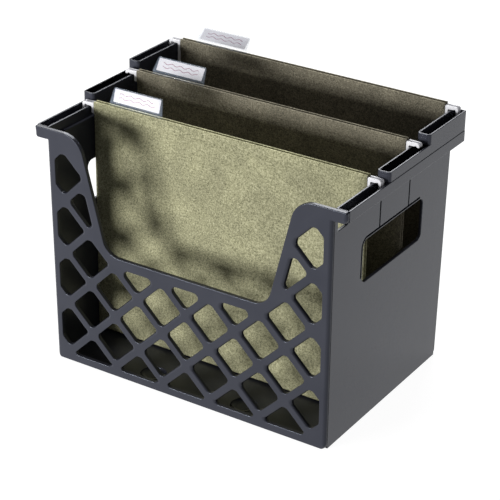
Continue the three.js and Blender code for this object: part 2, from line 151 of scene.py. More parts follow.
# ---- sizes of a hanging file ----
FILES = ("front", "middle", "rear")
TILT = {"front": 18.0, "middle": 32.0, "rear": 50.0}  # lean of the tab in degrees
PUSHED = {"front": 0.0, "middle": 0.0, "rear": 2.0}  # foot held forward by the rear panel
# The middle and rear files take the darker pressboard: partly a darker board, partly painted shade for the
# files that hang behind the front one.
BOARD = {"front": "pressboard_light", "middle": "pressboard_dark", "rear": "pressboard_dark"}
FLAP_SPACING = 4.2
SHEET = 0.7
FOLD_OUTER = 2.5  # outer radius of the fold at the foot
HEM_HEIGHT = 12.4
HEM_THICKNESS = 2.6
HEM_BLEND = 1.0  # height over which the sheet swings out to the hem, above and below
HEM_TAIL = 1.6  # the turned-over end reaches this far below the hem
WAVE = 0.55  # how far a board strays from flat
COLUMNS = 40
ROWS = 26

HOOK_ROOF = 3.8
HOOK_DROP = 6.5
HOOK_LEG = 2.8
HOOK_SADDLE = 0.3  # gap between the rail and the hook that rests on it
HOOK_EDGE_RADIUS = 0.4
HOOK_OUTER_RADIUS = 2.4  # top corner over the outer leg
HOOK_INNER_RADIUS = 1.0  # ends of the inner leg and its bend
HOOK_SMALL_RADIUS = 0.9  # ends of the outer leg and the inner top corner
HOOK_SEAT_RADIUS = 0.8
HOOK_SEAT = 4.8  # the saddle is level this far out from the inner leg
HOOK_THROAT_RISE = 1.0  # rise of the throat from the saddle to the outer leg
HOOK_TIP = 2.0  # thickness of the outer leg at its end

TAB_LIFT = 2.2
TAB_HEIGHT = 15.5
TAB_FILM = 0.35
TAB_HALF_DEPTH = 0.75
TAB_TOP_INSET = 2.6
TAB_TOP_RADIUS = 1.5
TAB_ROOT = 8.0
TAB_BEND_LIFT = 0.4  # the root starts to bend this far above the hem
TAB_BACK_FOOT = 0.6  # the back film leaves the bend this far up the tab
TAB_FRONT_FOOT = 0.4  # free end of the front film
TAB_BEHIND = 0.55  # middle of the tab's root behind the hem
LABEL_THICKNESS = 0.3
LABEL_LIFT = 1.8
LABEL_HEIGHT = 12.6
LABEL_WIDTH = 53.0
LABEL_CORNER = 0.8
LABEL_EDGE = 0.06
INK_LINES = (0.36, 0.66)  # height of each pen line, as a share of the label
INK_MARGIN = 6.0
INK_WAVELENGTH = 10.0
INK_SWING = 0.8
INK_WIDTH = 0.5
INK_DEPTH = 0.04
INK_EDGE = 0.01
INK_STEPS = 80

# ---- camera ----
CAMERA_AZIMUTH = 32.303
CAMERA_ELEVATION = 26.698
CAMERA_ROLL = 1.003
CAMERA_DISTANCE = 1.74946
CAMERA_TARGET = Vector((0.00164, 0.0, 0.1165))
CAMERA_LENS = 130.9
CAMERA_SENSOR = 36.0

# ---- lights and surroundings ----
# name, position, target, width, height, power in watts
LIGHTS = (
    ("key", (-0.85, -1.81, 0.30), (0, -0.05, 0.16), 0.8, 0.5, 47.0),
    ("overhead", (-0.60, 0.90, 1.20), (0, 0, 0.25), 1.2, 0.9, 23.0),
    ("fill", (1.80, 0.75, 0.30), (0, 0, 0.17), 0.5, 0.5, 6.0),
)
SURROUNDINGS = 0.13  # brightness of the world on the object
BACKDROP = 1.0  # brightness of the world behind the object
FLOOR_GLOW = 0.95
FLOOR_GREY = 0.20
FLOOR_HALF = 20.0

# ---- resolution of the meshes ----
ARC_STEP = math.radians(12)
FILLET_STEPS = 4
QUARTER = math.pi / 2


# ---- outlines ----
def following(loop):
    """Each point of a closed loop with the next one."""
    return zip(loop, loop[1:] + loop[:1])


def signed_area(loop):
    return sum(a.x * b.y - b.x * a.y for a, b in following(loop)) / 2


def turned(loop, counterclockwise):
    """The loop in the asked direction."""
    return loop if (signed_area(loop) > 0) == counterclockwise else loop[::-1]


def arc(centre, radius, start, sweep):
    """Points of an arc, both ends included."""
    count = max(2, math.ceil(abs(sweep) / ARC_STEP))
    angles = [start + sweep * i / count for i in range(count + 1)]
    return [centre + radius * Vector((math.cos(a), math.sin(a))) for a in angles]


def rounded(corners):
    """A closed outline from corners (x, y, radius), each rounded by an arc."""
    outline = []
    for i, (x, y, radius) in enumerate(corners):
        corner = Vector((x, y))
        to_last = Vector(corners[i - 1][:2]) - corner
        to_next = Vector(corners[(i + 1) % len(corners)][:2]) - corner
        half = to_last.angle(to_next) / 2
        longest = 0.49 * min(to_last.length, to_next.length)
        reach = min(radius / math.tan(half), longest)
        fitted = reach * math.tan(half)
        if fitted < CLEAR:
            outline.append(corner)
            continue
        to_last.normalize()
        to_next.normalize()
        centre = corner + (to_last + to_next).normalized() * fitted / math.sin(half)
        start = corner + to_last * reach - centre
        end = corner + to_next * reach - centre
        first = math.atan2(start.y, start.x)
        sweep = math.atan2(start.x * end.y - start.y * end.x, start.dot(end))
        outline += arc(centre, fitted, first, sweep)
    return outline


def rectangle(x0, x1, y0, y1, radius):
    return rounded([(x0, y0, radius), (x1, y0, radius), (x1, y1, radius), (x0, y1, radius)])


def clip(polygon, a, b, c):
    """The part of a convex polygon where a*x + b*y <= c."""
    kept = []
    for point, after in following(polygon):
        here = a * point.x + b * point.y - c
        there = a * after.x + b * after.y - c
        if here <= 0:
            kept.append(point)
        if here * there < 0:
            kept.append(point.lerp(after, here / (here - there)))
    return kept


# ---- plates with rounded edges ----
class Shell:
    """A closed surface drawn in a plate's own space: u and v along the plate, w into it."""

    def __init__(self):
        self.points = []
        self.normals = []
        self.faces = []

    def ring(self, points, normals):
        first = len(self.points)
        self.points += points
        self.normals += normals
        return list(range(first, len(self.points)))

    def strip(self, outer, inner):
        """Joins two rings; the second lies deeper."""
        for i in range(len(outer)):
            j = (i + 1) % len(outer)
            self.faces.append((outer[i], outer[j], inner[j], inner[i]))

    def stack(self, rings):
        for outer, inner in zip(rings, rings[1:]):
            self.strip(outer, inner)

    def cap(self, rings, faces_back):
        """Fills the first ring, leaving out the others."""
        order = [i for ring in rings for i in ring]
        loops = [[Vector((*self.points[i][:2], 0.0)) for i in ring] for ring in rings]
        for triangle in tessellate_polygon(loops):
            corners = [order[i] for i in triangle]
            flat = [Vector(self.points[i][:2]) for i in corners]
            if (signed_area(flat) > 0) != faces_back:
                corners.reverse()
            self.faces.append(tuple(corners))


def mitres(loop):
    """Vectors into the material that move each edge of the loop by one unit."""
    vectors = []
    for i, point in enumerate(loop):
        before = (point - loop[i - 1]).normalized()
        after = (loop[(i + 1) % len(loop)] - point).normalized()
        total = Vector((-before.y - after.y, before.x + after.x))
        vectors.append(total / (1 + before.dot(after)))
    return vectors


def outward(loop):
    """Unit normals out of the material; the longer edge at a point counts more."""
    normals = []
    for i, point in enumerate(loop):
        before = point - loop[i - 1]
        after = loop[(i + 1) % len(loop)] - point
        normals.append(Vector((before.y + after.y, -before.x - after.x)).normalized())
    return normals


def edge_ring(shell, loop, radii, turn, face, into):
    """One ring of a rounded edge. At turn 0 it lies in the face, at a quarter in the wall."""
    points = []
    normals = []
    for point, mitre, normal, radius in zip(loop, mitres(loop), outward(loop), radii):
        moved = point + mitre * radius * (1 - math.sin(turn))
        depth = face + into * radius * (1 - math.cos(turn))
        points.append((moved.x, moved.y, depth))
        side = normal * math.sin(turn)
        normals.append((side.x, side.y, -into * math.cos(turn)))
    return shell.ring(points, normals)


def edge_rings(shell, loop, radii, face, into):
    turns = [QUARTER * i / FILLET_STEPS for i in range(FILLET_STEPS + 1)]
    return [edge_ring(shell, loop, radii, turn, face, into) for turn in turns]


def pocket_rings(shell, loop, depth, run, rise):
    """Rings of the hollow curve between a pocket's wall and its floor."""
    rings = []
    for i in range(FILLET_STEPS + 1):
        turn = QUARTER * i / FILLET_STEPS
        inset = -run * (1 - math.cos(turn))
        w = depth - rise * (1 - math.sin(turn))
        points = []
        normals = []
        for point, mitre, normal in zip(loop, mitres(loop), outward(loop)):
            moved = point + mitre * inset
            points.append((moved.x, moved.y, w))
            side = normal * math.cos(turn)
            normals.append((side.x, side.y, -math.sin(turn)))
        rings.append(shell.ring(points, normals))
    return rings


def plate(outline, thickness, holes=(), pockets=(), front=EDGE_RADIUS, back=EDGE_RADIUS):
    """A plate with rounded edges. A pocket is (outline, depth, run, rise, edge radius).

    front is a radius, or a function of a point and its outward normal.
    """
    shell = Shell()
    front_rings = []
    back_rings = []
    for loop, is_outline in [(outline, True), *[(hole, False) for hole in holes]]:
        loop = turned(loop, is_outline)
        at_front = [front] * len(loop)
        if callable(front):
            at_front = [front(p, n) for p, n in zip(loop, outward(loop))]
        forward = edge_rings(shell, loop, at_front, 0.0, 1)
        rearward = edge_rings(shell, loop, [back] * len(loop), thickness, -1)
        shell.stack(forward + rearward[::-1])
        front_rings.append(forward[0])
        back_rings.append(rearward[0])
    for loop, depth, run, rise, edge in pockets:
        loop = turned(loop, False)
        forward = edge_rings(shell, loop, [edge] * len(loop), 0.0, 1)
        floor = pocket_rings(shell, loop, depth, run, rise)
        shell.stack(forward + floor)
        shell.cap([floor[-1]], False)
        front_rings.append(forward[0])
    shell.cap(front_rings, False)
    shell.cap(back_rings, True)
    return shell


def make_object(name, mesh):
    piece = bpy.data.objects.new(name, mesh)
    bpy.context.scene.collection.objects.link(piece)
    return piece


def solid(name, shells):
    """One mesh from shells, each given with the matrix that puts it in place."""
    points = []
    normals = []
    faces = []
    for shell, place in shells:
        first = len(points)
        linear = place.to_3x3()
        for_normals = linear.inverted().transposed()
        points += [place @ Vector(p) * MM for p in shell.points]
        normals += [(for_normals @ Vector(n)).normalized() for n in shell.normals]
        mirrored = linear.determinant() < 0
        for face in shell.faces:
            moved = [first + i for i in face]
            faces.append(moved[::-1] if mirrored else moved)
    mesh = bpy.data.meshes.new(name)
    mesh.from_pydata(points, [], faces)
    mesh.shade_smooth()
    mesh.normals_split_custom_set_from_vertices(normals)
    return make_object(name, mesh)


def placing(u, v, w, origin):
    """The matrix that sends a plate's u, v and w axes to these directions."""
    return Matrix.Translation(origin) @ Matrix((u, v, w)).transposed().to_4x4()


def mirrored_x(place):
    return Matrix.Scale(-1, 4, Vector((1, 0, 0))) @ place


# ---- rack panels ----
def side_x(z):
    """Outer face of a side wall at a height."""
    return BASE_HALF_WIDTH + SIDE_LEAN * min(z, RIM_Z)


def cut_x(z):
    return CUT_FLOOR_HALF + CUT_SLOPE * (z - CUT_FLOOR_Z)


def trim_to_cut_out(hole, x, z):
    """Cuts a hole back from the front cut-out: from its floor or its sloping side."""
    if z < CUT_FLOOR_Z and abs(x) < CUT_FLOOR_HALF:
        return clip(hole, 0, 1, CUT_FLOOR_Z - CUT_BORDER)
    if z < CUT_FLOOR_Z:
        return hole
    side = math.copysign(1, x)
    band = CUT_BORDER * math.hypot(1, CUT_SLOPE)
    edge = CUT_FLOOR_HALF - CUT_SLOPE * CUT_FLOOR_Z + band
    return clip(hole, -side, CUT_SLOPE, -edge)


def lattice_holes(top, trim=None):
    """Rounded diamond holes below a height, cut to the panel's border."""
    reach = HALF_PITCH - STRAND_WIDTH / math.sqrt(2)
    columns = math.ceil(BASE_HALF_WIDTH / HALF_PITCH)
    rows = math.ceil(top / HALF_PITCH)
    holes = []
    for row in range(-1, rows + 1):
        for column in range(-columns, columns + 1):
            if (row + column) % 2 == 0:
                continue
            x = column * HALF_PITCH
            z = FIRST_ROW_Z + row * HALF_PITCH
            tips = ((-reach, 0), (0, -reach), (reach, 0), (0, reach))
            hole = [Vector((x, z)) + Vector(tip) for tip in tips]
            hole = clip(hole, 1, 0, BASE_HALF_WIDTH - SIDE_BORDER)
            hole = clip(hole, -1, 0, BASE_HALF_WIDTH - SIDE_BORDER)
            hole = clip(hole, 0, -1, -FOOT_BORDER)
            hole = clip(hole, 0, 1, top)
            if trim:
                hole = trim(hole, x, z)
            if len(hole) > 2 and abs(signed_area(hole)) > SMALLEST_HOLE:
                holes.append(rounded([(p.x, p.y, HOLE_RADIUS) for p in hole]))
    return holes


def upright_edge(point, normal):
    """Edge radius of a panel: large on the upright outer sides, small elsewhere."""
    facing_out = max(0.0, normal.x * math.copysign(1, point.x))
    return EDGE_RADIUS + (UPRIGHT_RADIUS - EDGE_RADIUS) * facing_out ** 2


def front_panel():
    right = [
        (BASE_HALF_WIDTH, 0, FOOT_RADIUS),
        (side_x(RIM_Z), RIM_Z, PANEL_CORNER),
        (RIM_HALF_WIDTH, RIM_Z, EAR_FOOT_RADIUS),
        (RIM_HALF_WIDTH, RAIL_Z, EAR_TOP_RADIUS),
        (cut_x(RAIL_Z), RAIL_Z, SHOULDER_RADIUS),
        (CUT_FLOOR_HALF, CUT_FLOOR_Z, CUT_LOWER_RADIUS),
    ]
    left = [(-x, z, radius) for x, z, radius in reversed(right)]
    holes = lattice_holes(RIM_Z, trim_to_cut_out)

    def edge(point, normal):
        below = min(1.0, max(0.0, (RAIL_Z - point.y) / EAR_TAPER))
        largest = EAR_TOP_RADIUS + (UPRIGHT_RADIUS - EAR_TOP_RADIUS) * below
        return min(upright_edge(point, normal), largest)

    shell = plate(rounded(right + left), FRONT_THICKNESS, holes, front=edge)
    place = placing((1, 0, 0), (0, FRONT_LEAN, 1), (0, 1, 0), (0, FRONT_Y, 0))
    return solid("rack_front", [(shell, place)])


def rear_panel():
    outline = rounded([
        (-BASE_HALF_WIDTH, 0, FOOT_RADIUS),
        (BASE_HALF_WIDTH, 0, FOOT_RADIUS),
        (side_x(RIM_Z), TOP_Z, FOOT_RADIUS),
        (-side_x(RIM_Z), TOP_Z, FOOT_RADIUS),
    ])

    def edge(point, normal):
        return min(upright_edge(point, normal), REAR_THICKNESS - EDGE_RADIUS)

    holes = lattice_holes(TOP_Z - CUT_BORDER)
    shell = plate(outline, REAR_THICKNESS, holes, front=edge, back=REAR_INNER_EDGE_RADIUS)
    place = placing((1, 0, 0), (0, REAR_LEAN, 1), (0, -1, 0), (0, REAR_Y, 0))
    return solid("rack_rear", [(shell, place)])


def groove_outline():
    """The groove up the front of the slot and along its top, with two risers to the rim."""
    front, rear, high = SLOT["front"], SLOT["rear"], SLOT["high"]
    outer = GROOVE_OFFSET
    inner = GROOVE_OFFSET - GROOVE_WIDTH
    half = GROOVE_WIDTH / 2
    low = SLOT["low"] + SLOT["radius"]
    end = rear - SLOT["radius"]
    riser_top = RIM_Z + RIM_WEB / 2
    bend = SLOT["radius"] + GROOVE_OFFSET
    tip = GROOVE_TIP
    corners = [
        (front - outer, low, tip),
        (front - inner, low, tip),
        (front - inner, high + inner, bend - GROOVE_WIDTH),
        (end, high + inner, tip),
        (end, high + outer, tip),
    ]
    for y in reversed(GROOVE_Y):
        corners += [
            (y + half, high + outer, tip),
            (y + half, riser_top, tip),
            (y - half, riser_top, tip),
            (y - half, high + outer, tip),
        ]
    corners.append((front - outer, high + outer, bend))
    return rounded(corners)


def side_panel(name, mirror):
    top = RIM_Z + RIM_WEB / 2
    inside_front = FRONT_Y + FRONT_THICKNESS + CLEAR
    inside_rear = REAR_Y - REAR_THICKNESS - CLEAR
    outline = rounded([
        (inside_front, 0, 0),
        (inside_rear, 0, 0),
        (inside_rear + REAR_LEAN * top, top, 0),
        (inside_front + FRONT_LEAN * top, top, 0),
    ])
    holes = [rectangle(*[opening[k] for k in ("front", "rear", "low", "high", "radius")])
             for opening in (SLOT, WINDOW)]
    groove = (groove_outline(), GROOVE_DEPTH, GROOVE_TIP, GROOVE_TIP, GROOVE_EDGE)

    def edge(point, normal):
        on_rim = point.x < inside_front + 1 or point.x > inside_rear - 1
        return CLEAR if on_rim or point.y > RIM_Z or point.y < 1 else EDGE_RADIUS

    shell = plate(
        outline, SIDE_THICKNESS, holes, [groove], front=edge, back=INNER_EDGE_RADIUS)
    place = placing((0, 1, 0), (SIDE_LEAN, 0, 1), (-1, 0, 0), (BASE_HALF_WIDTH, 0, 0))
    return solid(name, [(shell, mirrored_x(place) if mirror else place)])


def floor_panel():
    half = BASE_HALF_WIDTH - SIDE_THICKNESS
    outline = rectangle(
        -half, half, FRONT_Y + FRONT_THICKNESS, REAR_Y - REAR_THICKNESS, 0.5)
    dishes = []
    for side in (-1, 1):
        rim = arc(Vector((side * DISH_X, DISH_Y)), DISH_RADIUS, 0, 2 * math.pi)[:-1]
        dishes.append((rim, DISH_DEPTH, DISH_RUN, DISH_DEPTH - DISH_STRAIGHT, DISH_EDGE))
    shell = plate(outline, FLOOR_THICKNESS, (), dishes, front=CLEAR, back=CLEAR)
    place = placing((1, 0, 0), (0, 1, 0), (0, 0, -1), (0, 0, FLOOR_THICKNESS))
    return solid("rack_floor", [(shell, place)])


# ---- rim ----
def rim_plan(front, rear, outer, radius):
    """Plan outline of a length of rim, rounded at its front end."""
    return rounded([
        (RIM_LOW.x, front, radius),
        (outer, front, radius),
        (outer, rear, RIM_EDGE_RADIUS),
        (RIM_LOW.x, rear, RIM_EDGE_RADIUS),
    ])


def trough_plan(front, rear, outer, radius):
    return rounded([
        (RIM_LOW.x + RAIL_THICKNESS, front, radius),
        (outer - FASCIA_THICKNESS, front, radius),
        (outer - FASCIA_THICKNESS, rear, TROUGH_REAR_CORNER),
        (RIM_LOW.x + RAIL_THICKNESS, rear, TROUGH_REAR_CORNER),
    ])


def rim(name, mirror):
    """The lower rim along the whole side and the two raised steps that stand on it."""
    rear = RIM_HIGH.y
    ear_back = FRONT_Y + FRONT_THICKNESS + FRONT_LEAN * RIM_Z + CLEAR
    edge = RIM_EDGE_RADIUS
    parts = []

    def add(plan, hollow, low, high, front=edge, back=edge):
        shell = plate(plan, high - low, hollow, front=front, back=back)
        parts.append((shell, placing((1, 0, 0), (0, 1, 0), (0, 0, -1), (0, 0, high))))

    trough = trough_plan(ear_back + CLEAR, rear - REAR_END_WALL, RIM_HALF_WIDTH, TROUGH_CORNER)
    lower = plate(
        rim_plan(ear_back, rear, RIM_HALF_WIDTH, RIM_EDGE_RADIUS), RAIL_Z - RIM_Z, (),
        [(trough, RAIL_Z - RIM_Z - RIM_WEB, TROUGH_CORNER, TROUGH_CORNER, edge)], front=edge, back=edge)
    parts.append((lower, placing((1, 0, 0), (0, 1, 0), (0, 0, -1), (0, 0, RAIL_Z))))

    outer = RIM_HALF_WIDTH - FASCIA_SETBACK
    middle_front, high_front = STEP_FRONT_Y
    inner_radius = END_RADIUS - END_WALL
    middle_rear = high_front + END_RADIUS
    add(rim_plan(middle_front, middle_rear, outer, END_RADIUS),
        [trough_plan(middle_front + END_WALL, middle_rear - CLEAR * 5, outer, inner_radius)],
        RAIL_Z + CLEAR, RAIL_Z + RAIL_RISE)
    add(rim_plan(high_front, rear, outer, END_RADIUS),
        [trough_plan(high_front + END_WALL, rear - REAR_END_WALL, outer, inner_radius)],
        RAIL_Z + CLEAR, TOP_Z)
    web_top = RIM_Z + RIM_WEB + CLEAR
    for front in STEP_FRONT_Y:
        divider = rectangle(
            RIM_LOW.x + RAIL_THICKNESS - edge, outer - FASCIA_THICKNESS + edge,
            front + edge, front + END_WALL, CLEAR)
        add(divider, (), web_top, RAIL_Z, CLEAR, CLEAR)
    if mirror:
        parts = [(shell, mirrored_x(place)) for shell, place in parts]
    return solid(name, parts)


# ---- sheets bent in the YZ plane and run along X ----
def straight(start, end, count):
    """Points from start up to, but not including, end."""
    return [start.lerp(end, i / count) for i in range(count)]


def path_normals(path):
    normals = []
    for i in range(len(path)):
        before = path[max(i - 1, 0)]
        after = path[min(i + 1, len(path) - 1)]
        along = (after - before).normalized()
        normals.append(Vector((-along.y, along.x)))
    return normals


def thickened(path, thickness, blunt_start=False):
    """Closed outline of a sheet around its centreline; free ends are rounded."""
    half = thickness / 2
    normals = path_normals(path)
    left = [p + n * half for p, n in zip(path, normals)]
    right = [p - n * half for p, n in zip(path, normals)]

    def round_end(centre, normal, turn):
        angles = [turn * math.pi * i / 4 for i in (1, 2, 3)]
        return [centre + Matrix.Rotation(a, 2) @ (normal * half) for a in angles]

    end = round_end(path[-1], normals[-1], -1)
    start = [] if blunt_start else round_end(path[0], -normals[0], -1)
    return left + end + right[::-1] + start


def swept_sheet(name, outline, columns, move):
    """Runs a closed YZ outline along X. move(x, y, z) gives the final point."""
    outline = turned(outline, True)
    chamfer = 0.12
    inward = mitres(outline)
    span = columns[-1] - columns[0]
    stations = [(columns[0], chamfer)]
    stations += [(columns[0] + chamfer, 0.0)]
    stations += [(x, 0.0) for x in columns[1:-1]]
    stations += [(columns[0] + span - chamfer, 0.0), (columns[-1], chamfer)]
    points = []
    for x, inset in stations:
        for point, mitre in zip(outline, inward):
            moved = point + mitre * inset
            points.append(Vector(move(x, moved.x, moved.y)) * MM)
    count = len(outline)
    faces = []
    for station in range(len(stations) - 1):
        for i in range(count):
            j = (i + 1) % count
            a = station * count
            b = a + count
            faces.append((a + i, b + i, b + j, a + j))
    flat = [Vector((p.x, p.y, 0)) for p in outline]
    last = (len(stations) - 1) * count
    for triangle in tessellate_polygon([flat]):
        corners = list(triangle)
        if signed_area([outline[i] for i in corners]) < 0:
            corners.reverse()
        faces.append(tuple(reversed(corners)))
        faces.append(tuple(last + i for i in corners))
    mesh = bpy.data.meshes.new(name)
    mesh.from_pydata(points, [], [face[::-1] for face in faces])
    mesh.shade_smooth()
    mesh.set_sharp_from_angle(angle=math.radians(50))
    return make_object(name, mesh)


def even_columns(low, high, count):
    return [low + (high - low) * i / count for i in range(count + 1)]


class HangingFile:
    """Sizes of one file, read from its CAD nodes, and the pieces made from them."""

    def __init__(self, name):
        self.name = name
        self.still = f"file_{name}"
        self.opening = f"file_{name}_opening_flap"
        low, high = box_mm(f"file_{name}_rear_flap")
        self.left, self.right = low.x, high.x
        self.fold_z, self.hem_top = low.z, high.z
        self.front_y = middle_mm(f"file_{name}_front_rod").y
        self.rear_y = middle_mm(f"file_{name}_rear_rod").y
        self.phase = 1.7 * FILES.index(name)

    def stray(self, x, y, z):
        """Leans the foot forward and lets the board stray a little from flat."""
        height = self.hem_top - self.fold_z
        hem_middle = self.hem_top - HEM_HEIGHT / 2
        lean = PUSHED[self.name] / height * (z - hem_middle)
        share = min(1.0, max(0.0, (z - self.fold_z) / (height - HEM_HEIGHT)))
        bulge = math.sin(math.pi * share)
        ripple = math.sin(x / 43 + self.phase) + 0.4 * math.sin(x / 17 + z / 29 + self.phase)
        return (x, y + lean + WAVE * bulge * ripple, z)

    def hem(self, y, side):
        """Centreline of the hem, from the sheet over the rod and down the other side."""
        radius = (HEM_THICKNESS - SHEET) / 2
        top = self.hem_top - HEM_THICKNESS / 2
        low = self.hem_top - HEM_HEIGHT
        near = y + side * radius
        far = y - side * radius
        start = math.pi if side < 0 else 0.0
        below = low - HEM_BLEND
        above = low + HEM_BLEND
        tail = y - side * (SHEET + CLEAR)
        path = straight(Vector((y, below)), Vector((near, above)), 3)
        path += straight(Vector((near, above)), Vector((near, top)), 4)
        path += arc(Vector((y, top)), radius, start, side * math.pi)
        path += straight(Vector((far, top)), Vector((far, above)), 4)[1:]
        path += straight(Vector((far, above)), Vector((tail, below)), 3)
        return path + [Vector((tail, low - HEM_TAIL))]

    def front_flap(self):
        low = Vector((self.front_y, self.fold_z + FOLD_OUTER + SHEET / 2))
        high = Vector((self.front_y, self.hem_top - HEM_HEIGHT - HEM_BLEND))
        path = straight(low, high, ROWS) + self.hem(self.front_y, -1)
        columns = even_columns(self.left, self.right, COLUMNS)
        outline = thickened(path, SHEET, blunt_start=True)
        piece = swept_sheet(f"file_{self.name}_front_board", outline, columns, self.stray)
        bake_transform(piece)
        return piece

    def rear_flap(self):
        radius = FLAP_SPACING / 2
        fold = Vector((self.rear_y - radius, self.fold_z + FOLD_OUTER))
        tip = Vector((self.rear_y - FLAP_SPACING, fold.y + SHEET / 2 - CLEAR))
        high = Vector((self.rear_y, self.hem_top - HEM_HEIGHT - HEM_BLEND))
        path = [tip] + arc(fold, radius, math.pi, math.pi)
        path += straight(path[-1], high, ROWS)[1:] + self.hem(self.rear_y, 1)
        columns = even_columns(self.left, self.right, COLUMNS)
        outline = thickened(path, SHEET, blunt_start=True)
        piece = swept_sheet(f"file_{self.name}_rear_board", outline, columns, self.stray)
        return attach(piece, self.still)

    def hook(self, place, side_name):
        """An inverted U over the rail."""
        node = f"file_{self.name}_{place}_hook_{side_name}"
        low, high = box_mm(node)
        is_left = side_name == "left"
        inner_x = -high.x if is_left else low.x
        outer_x = -low.x if is_left else high.x
        rail_top = high.z - HOOK_ROOF
        saddle = rail_top + HOOK_SADDLE
        outer_low = rail_top - HOOK_DROP
        outline = rounded([
            (inner_x, low.z, HOOK_INNER_RADIUS),
            (inner_x + HOOK_LEG, low.z, HOOK_INNER_RADIUS),
            (inner_x + HOOK_LEG, saddle, HOOK_INNER_RADIUS),
            (inner_x + HOOK_LEG + HOOK_SEAT, saddle, HOOK_SEAT_RADIUS),
            (outer_x - HOOK_LEG, saddle + HOOK_THROAT_RISE, HOOK_INNER_RADIUS),
            (outer_x - HOOK_TIP, outer_low, HOOK_SMALL_RADIUS),
            (outer_x, outer_low, HOOK_SMALL_RADIUS),
            (outer_x, high.z, HOOK_OUTER_RADIUS),
            (inner_x, high.z, HOOK_SMALL_RADIUS),
        ])
        shell = plate(outline, high.y - low.y, front=HOOK_EDGE_RADIUS, back=HOOK_EDGE_RADIUS)
        place_matrix = placing((1, 0, 0), (0, 0, 1), (0, 1, 0), (0, low.y, 0))
        if is_left:
            place_matrix = mirrored_x(place_matrix)
        piece = solid(f"{node}_moulded", [(shell, place_matrix)])
        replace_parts(piece, node)
        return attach(piece, self.opening if place == "front" else self.still)

    def tab_frame(self):
        """Pivot of the tab, and its directions up the tab and through it, in Y and Z."""
        tilt = math.radians(TILT[self.name])
        behind = self.front_y + HEM_THICKNESS / 2 + TAB_BEHIND
        pivot = Vector((behind, self.hem_top + TAB_LIFT))
        up = Vector((math.sin(tilt), math.cos(tilt)))
        return pivot, up, Vector((up.y, -up.x))

    def tab(self):
        """One film: up behind the hem, up the back, over the top and down the front."""
        pivot, up, through = self.tab_frame()
        root = Vector((pivot.x, self.hem_top - TAB_ROOT))
        bend = Vector((pivot.x, self.hem_top + TAB_BEND_LIFT))
        back_foot = pivot + through * TAB_HALF_DEPTH + up * TAB_BACK_FOOT
        top_height = TAB_HEIGHT - TAB_HALF_DEPTH - TAB_FILM / 2
        top = pivot + up * top_height
        front_foot = pivot - through * TAB_HALF_DEPTH + up * TAB_FRONT_FOOT
        path = straight(root, bend, 4)
        path += straight(bend, back_foot, 2)
        path += straight(back_foot, top + through * TAB_HALF_DEPTH, 6)
        path += arc(top, TAB_HALF_DEPTH, math.atan2(through.y, through.x), math.pi)
        path += straight(top - through * TAB_HALF_DEPTH, front_foot, 6)[1:] + [front_foot]
        low, high = box_mm(f"file_{self.name}_tab")
        middle = (low.x + high.x) / 2
        half = (high.x - low.x) / 2

        def taper(x, y, z):
            height = max(0.0, (Vector((y, z)) - pivot).dot(up))
            inset = TAB_TOP_INSET * height / TAB_HEIGHT
            over = max(0.0, height - (TAB_HEIGHT - TAB_TOP_RADIUS))
            inset += TAB_TOP_RADIUS - math.sqrt(max(0.0, TAB_TOP_RADIUS ** 2 - over ** 2))
            return (middle + (x - middle) * (1 - inset / half), y, z)

        columns = even_columns(low.x, high.x, 12)
        piece = swept_sheet(f"file_{self.name}_clear_tab", thickened(path, TAB_FILM), columns, taper)
        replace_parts(piece, f"file_{self.name}_tab")
        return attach(piece, self.opening)

    def label_place(self, depth):
        """Matrix for a plate that lies in the tab, its front face at a depth."""
        pivot, up, through = self.tab_frame()
        origin = pivot + up * LABEL_LIFT + through * depth
        middle = middle_mm(f"file_{self.name}_label").x
        return placing(
            (1, 0, 0), (0, up.x, up.y), (0, through.x, through.y), (middle, origin.x, origin.y))

    def label(self):
        half = LABEL_WIDTH / 2
        outline = rectangle(-half, half, 0, LABEL_HEIGHT, LABEL_CORNER)
        shell = plate(outline, LABEL_THICKNESS, front=LABEL_EDGE, back=LABEL_EDGE)
        place = self.label_place(-LABEL_THICKNESS / 2)
        piece = solid(f"file_{self.name}_paper_label", [(shell, place)])
        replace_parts(piece, f"file_{self.name}_label")
        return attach(piece, self.opening)

    def ink(self):
        """Two long gentle pen waves that spell nothing."""
        shells = []
        for line_height in INK_LINES:
            length = LABEL_WIDTH - 2 * INK_MARGIN
            line = []
            for i in range(INK_STEPS + 1):
                along = length * i / INK_STEPS
                wave = math.sin(2 * math.pi * along / INK_WAVELENGTH + self.phase)
                height = line_height * LABEL_HEIGHT + INK_SWING * wave
                line.append(Vector((along - length / 2, height)))
            shell = plate(thickened(line, INK_WIDTH), INK_DEPTH, front=INK_EDGE, back=INK_EDGE)
            depth = -LABEL_THICKNESS / 2 - INK_DEPTH - CLEAR
            shells.append((shell, self.label_place(depth)))
        piece = solid(f"file_{self.name}_ink", shells)
        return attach(piece, self.opening)


